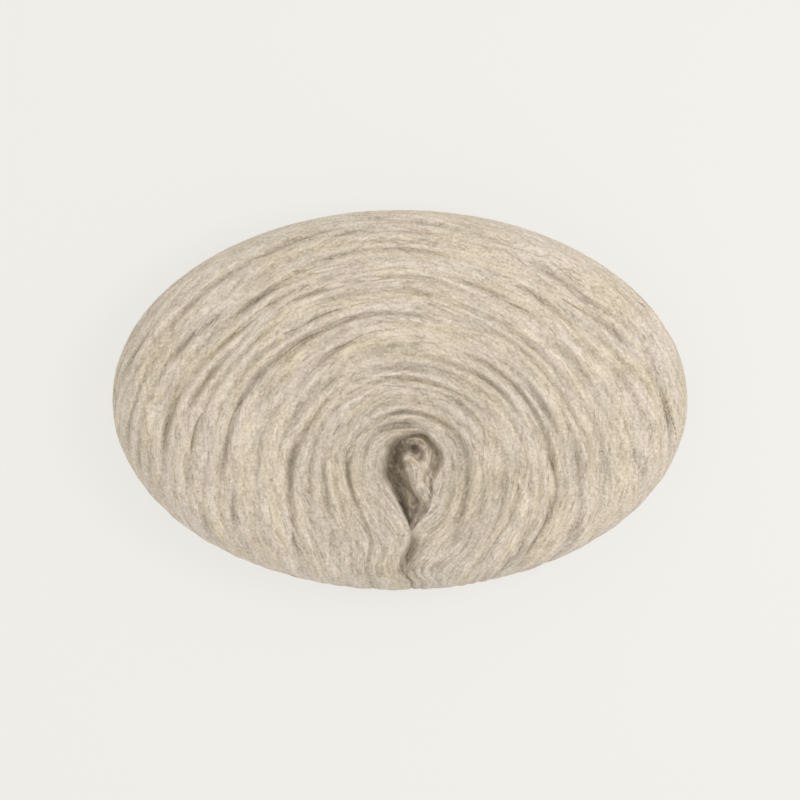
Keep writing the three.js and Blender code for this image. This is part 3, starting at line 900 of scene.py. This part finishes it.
def skin_faces(rows, columns):
    """Quads between the rows of a grid closed round its columns, and triangles to a pole at each end."""
    row = np.arange(rows - 1)[:, None] * columns
    column = np.arange(columns)[None, :]
    following = (column + 1) % columns
    quads = np.stack((row + column, row + columns + column, row + columns + following, row + following), -1)
    column, following = column[0], following[0]
    first_pole, last_pole = np.full(columns, rows * columns), np.full(columns, rows * columns + 1)
    last = (rows - 1) * columns
    opening = np.stack((first_pole, column, following), -1)
    closing = np.stack((last + column, last_pole, last + following), -1)
    return quads.reshape(-1, 4), np.concatenate((opening, closing))


def wool_material(name, colours, settings):
    """Heathered wool: streaks and lines along each strand, flecks, warm and cool patches, and painted shade
    in valleys, round and in the eye and near the rim.
    """
    material = bpy.data.materials.new(name)
    material.use_nodes = True
    nodes, links = material.node_tree.nodes, material.node_tree.links
    shader = nodes["Principled BSDF"]
    shader.inputs["Roughness"].default_value = settings.roughness
    shader.inputs["Specular IOR Level"].default_value = 0.15
    shader.inputs["Sheen Weight"].default_value = settings.sheen
    shader.inputs["Sheen Roughness"].default_value = 0.6

    def attribute(key):
        node = nodes.new("ShaderNodeAttribute")
        node.attribute_name = key
        return node.outputs

    def noise(source, scale, detail, roughness=0.55):
        mapping = nodes.new("ShaderNodeMapping")
        mapping.inputs["Scale"].default_value = scale
        texture = nodes.new("ShaderNodeTexNoise")
        texture.inputs["Scale"].default_value = 1.0
        texture.inputs["Detail"].default_value = detail
        texture.inputs["Roughness"].default_value = roughness
        links.new(source, mapping.inputs["Vector"])
        links.new(mapping.outputs["Vector"], texture.inputs["Vector"])
        return texture.outputs["Fac"]

    def maths(operation, first, second):
        node = nodes.new("ShaderNodeMath")
        node.operation = operation
        for socket, value in zip(node.inputs, (first, second)):
            if isinstance(value, (int, float)):
                socket.default_value = value
            else:
                links.new(value, socket)
        return node.outputs["Value"]

    strand, tint, shade = attribute("strand"), attribute("tint"), attribute("shade")
    place = nodes.new("ShaderNodeTexCoord").outputs
    streaks = noise(strand["Vector"], STREAK_SCALE, 2.0)
    lines = noise(strand["Vector"], LINE_SCALE, 1.0)
    flecks = noise(place["Object"], FLECK_SCALE, 0.0)
    level = maths("ADD", maths("MULTIPLY", streaks, STREAK_SHARE), maths("MULTIPLY", lines, LINE_SHARE))
    level = maths("ADD", level, maths("MULTIPLY", flecks, FLECK_SHARE))
    level = maths("ADD", level, maths("MULTIPLY", tint["Fac"], settings.tint_share))
    # Painted shade: the shade attribute darkens the colour in valleys, round and in the eye and near the rim
    level = maths("SUBTRACT", level, maths("MULTIPLY", shade["Fac"], settings.painted_shade_share))
    level = maths("SUBTRACT", level, LEVEL_DROP)
    ramp = nodes.new("ShaderNodeValToRGB")
    stops = ramp.color_ramp.elements
    stops[0].position, stops[0].color = DARK_LEVEL, (*colours.dark, 1.0)
    stops[1].position, stops[1].color = LIGHT_LEVEL, (*colours.light, 1.0)
    middle = stops.new(MIDDLE_LEVEL)
    middle.color = (*colours.middle, 1.0)
    links.new(level, ramp.inputs["Fac"])
    patches = noise(strand["Vector"], PATCH_SCALE, 2.0, 0.6)
    cast = nodes.new("ShaderNodeValToRGB")
    stops = cast.color_ramp.elements
    stops[0].position, stops[0].color = COOL_LEVEL, (*colours.cool, 1.0)
    stops[1].position, stops[1].color = WARM_LEVEL, (*colours.warm, 1.0)
    links.new(patches, cast.inputs["Fac"])
    blend = nodes.new("ShaderNodeMix")
    blend.data_type = "RGBA"
    blend.blend_type = "MULTIPLY"
    blend.inputs["Factor"].default_value = 1.0
    links.new(ramp.outputs["Color"], blend.inputs["A"])
    links.new(cast.outputs["Color"], blend.inputs["B"])
    links.new(blend.outputs["Result"], shader.inputs["Base Color"])
    bump = nodes.new("ShaderNodeBump")
    bump.inputs["Strength"].default_value = BUMP_STRENGTH
    bump.inputs["Distance"].default_value = BUMP_DISTANCE
    links.new(level, bump.inputs["Height"])
    links.new(bump.outputs["Normal"], shader.inputs["Normal"])
    return material


def colour(name, description, default):
    """A colour that a user would change."""
    return FloatVectorProperty(name=name, description=description, default=default, subtype="COLOR")


def share(name, description, default):
    """A share from 0 to 1 that a user would change."""
    limits = {"min": 0.0, "max": 1.0, "subtype": "FACTOR"}
    return FloatProperty(name=name, description=description, default=default, **limits)


class WoolColours(bpy.types.PropertyGroup):
    """Colours of the heathered wool and of what it lies on."""

    # Colour of the darkest fibres, and also the colour towards which the painted shade darkens the wool
    dark: colour("Taupe", "Colour of the darkest fibres", (0.255, 0.218, 0.155))
    middle: colour("Oatmeal", "Colour of most fibres", (0.755, 0.673, 0.566))
    light: colour("Cream", "Colour of the lightest fibres", (0.94, 0.883, 0.8))
    cool: colour("Cool", "Cast of the greyer patches", (1.0, 0.982, 1.0))
    warm: colour("Warm", "Cast of the warmer patches", (0.975, 0.94, 0.856))
    floor: colour("Floor", "Colour of the floor", (0.858, 0.85, 0.812))


class WoolSettings(bpy.types.PropertyGroup):
    """Sizes and numbers of the locks and fibres, the finish of the wool, and how far painted shade darkens
    it.
    """

    face_locks: IntProperty(name="Face locks", description="Locks on the face", default=160, min=1)
    edge_locks: IntProperty(name="Edge locks", description="Locks round the edge", default=140, min=1)
    fibres: IntProperty(name="Fibres", description="Loose fibres in each piece", default=3000, min=1)
    fibre_width: FloatProperty(
        name="Fibre width", description="Half width of a loose fibre",
        default=0.000045, unit="LENGTH", precision=6
    )
    roughness: share("Roughness", "Roughness of the wool", 0.92)
    sheen: share("Sheen", "Soft shine of the fuzz", 0.15)
    tint_share: share("Tint", "How much locks differ in colour", 0.03)
    # How far the painted shade darkens the wool's colour in valleys, in and round the eye and near the rim
    painted_shade_share: share("Valleys", "How much valleys are darker", 0.22)
    colours: PointerProperty(type=WoolColours)


def shared_material(settings):
    """The wool material, made once and shared by every piece."""
    found = bpy.data.materials.get("heathered_wool")
    return found or wool_material("heathered_wool", settings.colours, settings)


class WOOL_OT_skin(bpy.types.Operator):
    """Makes the wound skin that stands for the solid plate"""

    bl_idname = "wool.skin"
    bl_label = "Wound skin"

    def execute(self, context):
        settings = context.scene.wool
        turn = np.linspace(0.0, 2.0 * np.pi, SKIN_COLUMNS, endpoint=False)
        x, y = skin_rows(-0.5 * np.pi + turn - TIP_CROWDING * np.sin(turn))
        pole_x, pole_y = np.array([EYE_X + EYE_FLOOR_SHIFT[0]]), np.array([EYE_Y + EYE_FLOOR_SHIFT[1]])
        points = np.concatenate((
            plate_point(x, y, np.zeros_like(x)).reshape(-1, 3),
            plate_point(pole_x, pole_y, np.zeros(1)),
            np.zeros((1, 3)),
        ))
        ring, along, _, _ = ring_coordinates(x, y)
        arc = arc_length(ring, along)
        strayed = strand_ring(ring, along) + strand_wander(ring, arc)
        strand = np.stack((arc, strayed, np.zeros_like(arc)), -1).reshape(-1, 3)
        attributes = {
            "strand": np.concatenate((strand, np.zeros((2, 3)))),
            "tint": np.full(len(points), SKIN_TINT),
            # Painted shade of each point; the pole on the eye's floor gets full painted shade, the one under
            # the plate none
            "shade": np.concatenate((painted_shade_of(x, y).ravel(), (1.0, 0.0))),
        }
        faces = skin_faces(len(x), SKIN_COLUMNS)
        skin = mesh_piece("wound_skin", points, faces, shared_material(settings), attributes)
        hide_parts(NODE)
        return {"FINISHED"}


class WOOL_OT_locks(bpy.types.Operator):
    """Lays loose locks over the face and round the edge"""

    bl_idname = "wool.locks"
    bl_label = "Combed locks"

    def execute(self, context):
        settings = context.scene.wool
        material = shared_material(settings)
        draws = np.random.default_rng(SEEDS["face"])
        middles = scatter_on_face(settings.face_locks, LOCK_GAP, draws)
        lock_piece("face_locks", middles, draws, material)
        draws = np.random.default_rng(SEEDS["edge"])
        middles = scatter_on_edge(settings.edge_locks, draws)
        lock_piece("edge_locks", middles, draws, material)
        return {"FINISHED"}


class WOOL_OT_eye_turn(bpy.types.Operator):
    """Makes the innermost turn, a loose bundle of strands which curls over in the eye"""

    bl_idname = "wool.eye_turn"
    bl_label = "Innermost turn"

    def execute(self, context):
        material = shared_material(context.scene.wool)
        draws = np.random.default_rng(SEEDS["eye"])
        for row in BUNDLES:
            bundle = dict(zip(BUNDLE_COLUMNS, row))
            name = bundle.pop("name")
            points, faces, attributes = turn_strands(**bundle, draws=draws)
            mesh_piece(name, points, faces, material, attributes)
        return {"FINISHED"}


class WOOL_OT_fibres(bpy.types.Operator):
    """Scatters loose fibres over the face and round the edge"""

    bl_idname = "wool.fibres"
    bl_label = "Loose fibres"

    def execute(self, context):
        settings = context.scene.wool
        material = shared_material(settings)
        half_width = settings.fibre_width / MM
        for order in range(FACE_FIBRE_PIECES):
            draws = np.random.default_rng(SEEDS["fibres"] + order)
            middles = scatter_on_face(settings.fibres, FIBRE_GAP, draws)
            fibre_piece(f"face_fibres_{order + 1}", middles, half_width, draws, material)
        draws = np.random.default_rng(SEEDS["fibres"] + FACE_FIBRE_PIECES)
        middles = scatter_on_edge(settings.fibres // 2, draws)
        fibre_piece("edge_fibres", middles, half_width, draws, material)
        return {"FINISHED"}


class WOOL_OT_stage(bpy.types.Operator):
    """Makes the floor, the soft light and the camera"""

    bl_idname = "wool.stage"
    bl_label = "Stage"

    def execute(self, context):
        scene = context.scene
        colours = scene.wool.colours
        side = FLOOR_HALF_SIDE
        mesh = bpy.data.meshes.new("floor")
        corners = [(-side, -side, 0.0), (side, -side, 0.0), (side, side, 0.0), (-side, side, 0.0)]
        mesh.from_pydata(corners, [], [(0, 1, 2, 3)])
        floor = bpy.data.objects.new("floor", mesh)
        scene.collection.objects.link(floor)
        material = bpy.data.materials.new("pale_floor")
        material.use_nodes = True
        shader = material.node_tree.nodes["Principled BSDF"]
        unlit = tuple((1.0 - FLOOR_GLOW) * channel for channel in colours.floor)
        shader.inputs["Base Color"].default_value = (*unlit, 1.0)
        shader.inputs["Emission Color"].default_value = (*colours.floor, 1.0)
        shader.inputs["Emission Strength"].default_value = FLOOR_GLOW
        shader.inputs["Roughness"].default_value = 1.0
        shader.inputs["Specular IOR Level"].default_value = 0.0
        mesh.materials.append(material)
        world = bpy.data.worlds.new("soft_room")
        scene.world = world
        world.use_nodes = True
        background = world.node_tree.nodes["Background"]
        background.inputs["Color"].default_value = (1.0, 1.0, 1.0, 1.0)
        background.inputs["Strength"].default_value = ROOM_LIGHT
        light = bpy.data.lights.new("soft_box", "AREA")
        light.shape = "DISK"
        light.size = LAMP_SIZE
        light.energy = LAMP_POWER
        lamp = bpy.data.objects.new("soft_box", light)
        lamp.location = LAMP_PLACE
        direction = -lamp.location
        lamp.rotation_euler = direction.to_track_quat("-Z", "Y").to_euler()
        scene.collection.objects.link(lamp)
        camera = bpy.data.cameras.new("camera")
        camera.lens = LENS
        camera.sensor_width = SENSOR_WIDTH
        viewer = bpy.data.objects.new("camera", camera)
        viewer.location = (0.0, 0.0, WAIST * MM + LENS / SENSOR_WIDTH * VIEW_WIDTH)
        scene.collection.objects.link(viewer)
        scene.camera = viewer
        scene.view_settings.view_transform = "Standard"
        return {"FINISHED"}


class WOOL_PT_panel(bpy.types.Panel):
    """Lists the steps that dress the plate"""

    bl_idname = "WOOL_PT_panel"
    bl_label = "Unspun wool plate"
    bl_space_type = "VIEW_3D"
    bl_region_type = "UI"
    bl_category = "Wool"

    def draw(self, context):
        for operator in OPERATORS:
            self.layout.operator(operator.bl_idname)


OPERATORS = (WOOL_OT_stage, WOOL_OT_skin, WOOL_OT_eye_turn, WOOL_OT_locks, WOOL_OT_fibres)
CLASSES = (WoolColours, WoolSettings, *OPERATORS, WOOL_PT_panel)


def register():
    for each in CLASSES:
        bpy.utils.register_class(each)
    bpy.types.Scene.wool = PointerProperty(type=WoolSettings)


def unregister():
    del bpy.types.Scene.wool
    for each in reversed(CLASSES):
        bpy.utils.unregister_class(each)


def main():
    register()
    bpy.ops.wool.stage()
    bpy.ops.wool.skin()
    bpy.ops.wool.eye_turn()
    bpy.ops.wool.locks()
    bpy.ops.wool.fibres()


if __name__ == "__main__":
    main()
